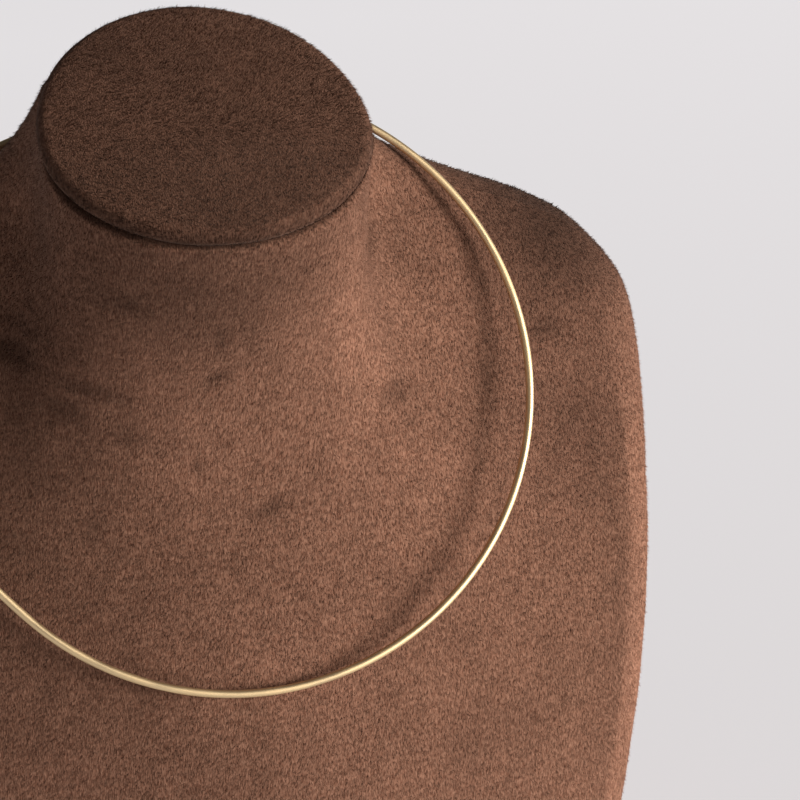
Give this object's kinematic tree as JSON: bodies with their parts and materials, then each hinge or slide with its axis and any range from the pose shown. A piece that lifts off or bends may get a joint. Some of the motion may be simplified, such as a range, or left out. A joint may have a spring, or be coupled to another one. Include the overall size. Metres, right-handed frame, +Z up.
{
  "type": "wire collar choker necklace on a neck bust",
  "caption": "Rigid round-wire collar necklace resting on a plush covered neck and shoulder display bust.",
  "frame": {"origin": "centre of the bounding box on the table the bust stands on", "axes": "+Z up, -Y the way the chest faces, +X the wearer's left"},
  "size_m": [0.2372, 0.1094, 0.2492],
  "materials": {
    "plush_cover": "short-pile plush",
    "collar_metal": "satin gold plating"
  },
  "bodies": {
    "root": {"bust_body": "plush_cover", "neck_cap": "plush_cover", "collar_wire": "collar_metal", "clasp_barrel": "collar_metal"}
  },
  "joints": []
}
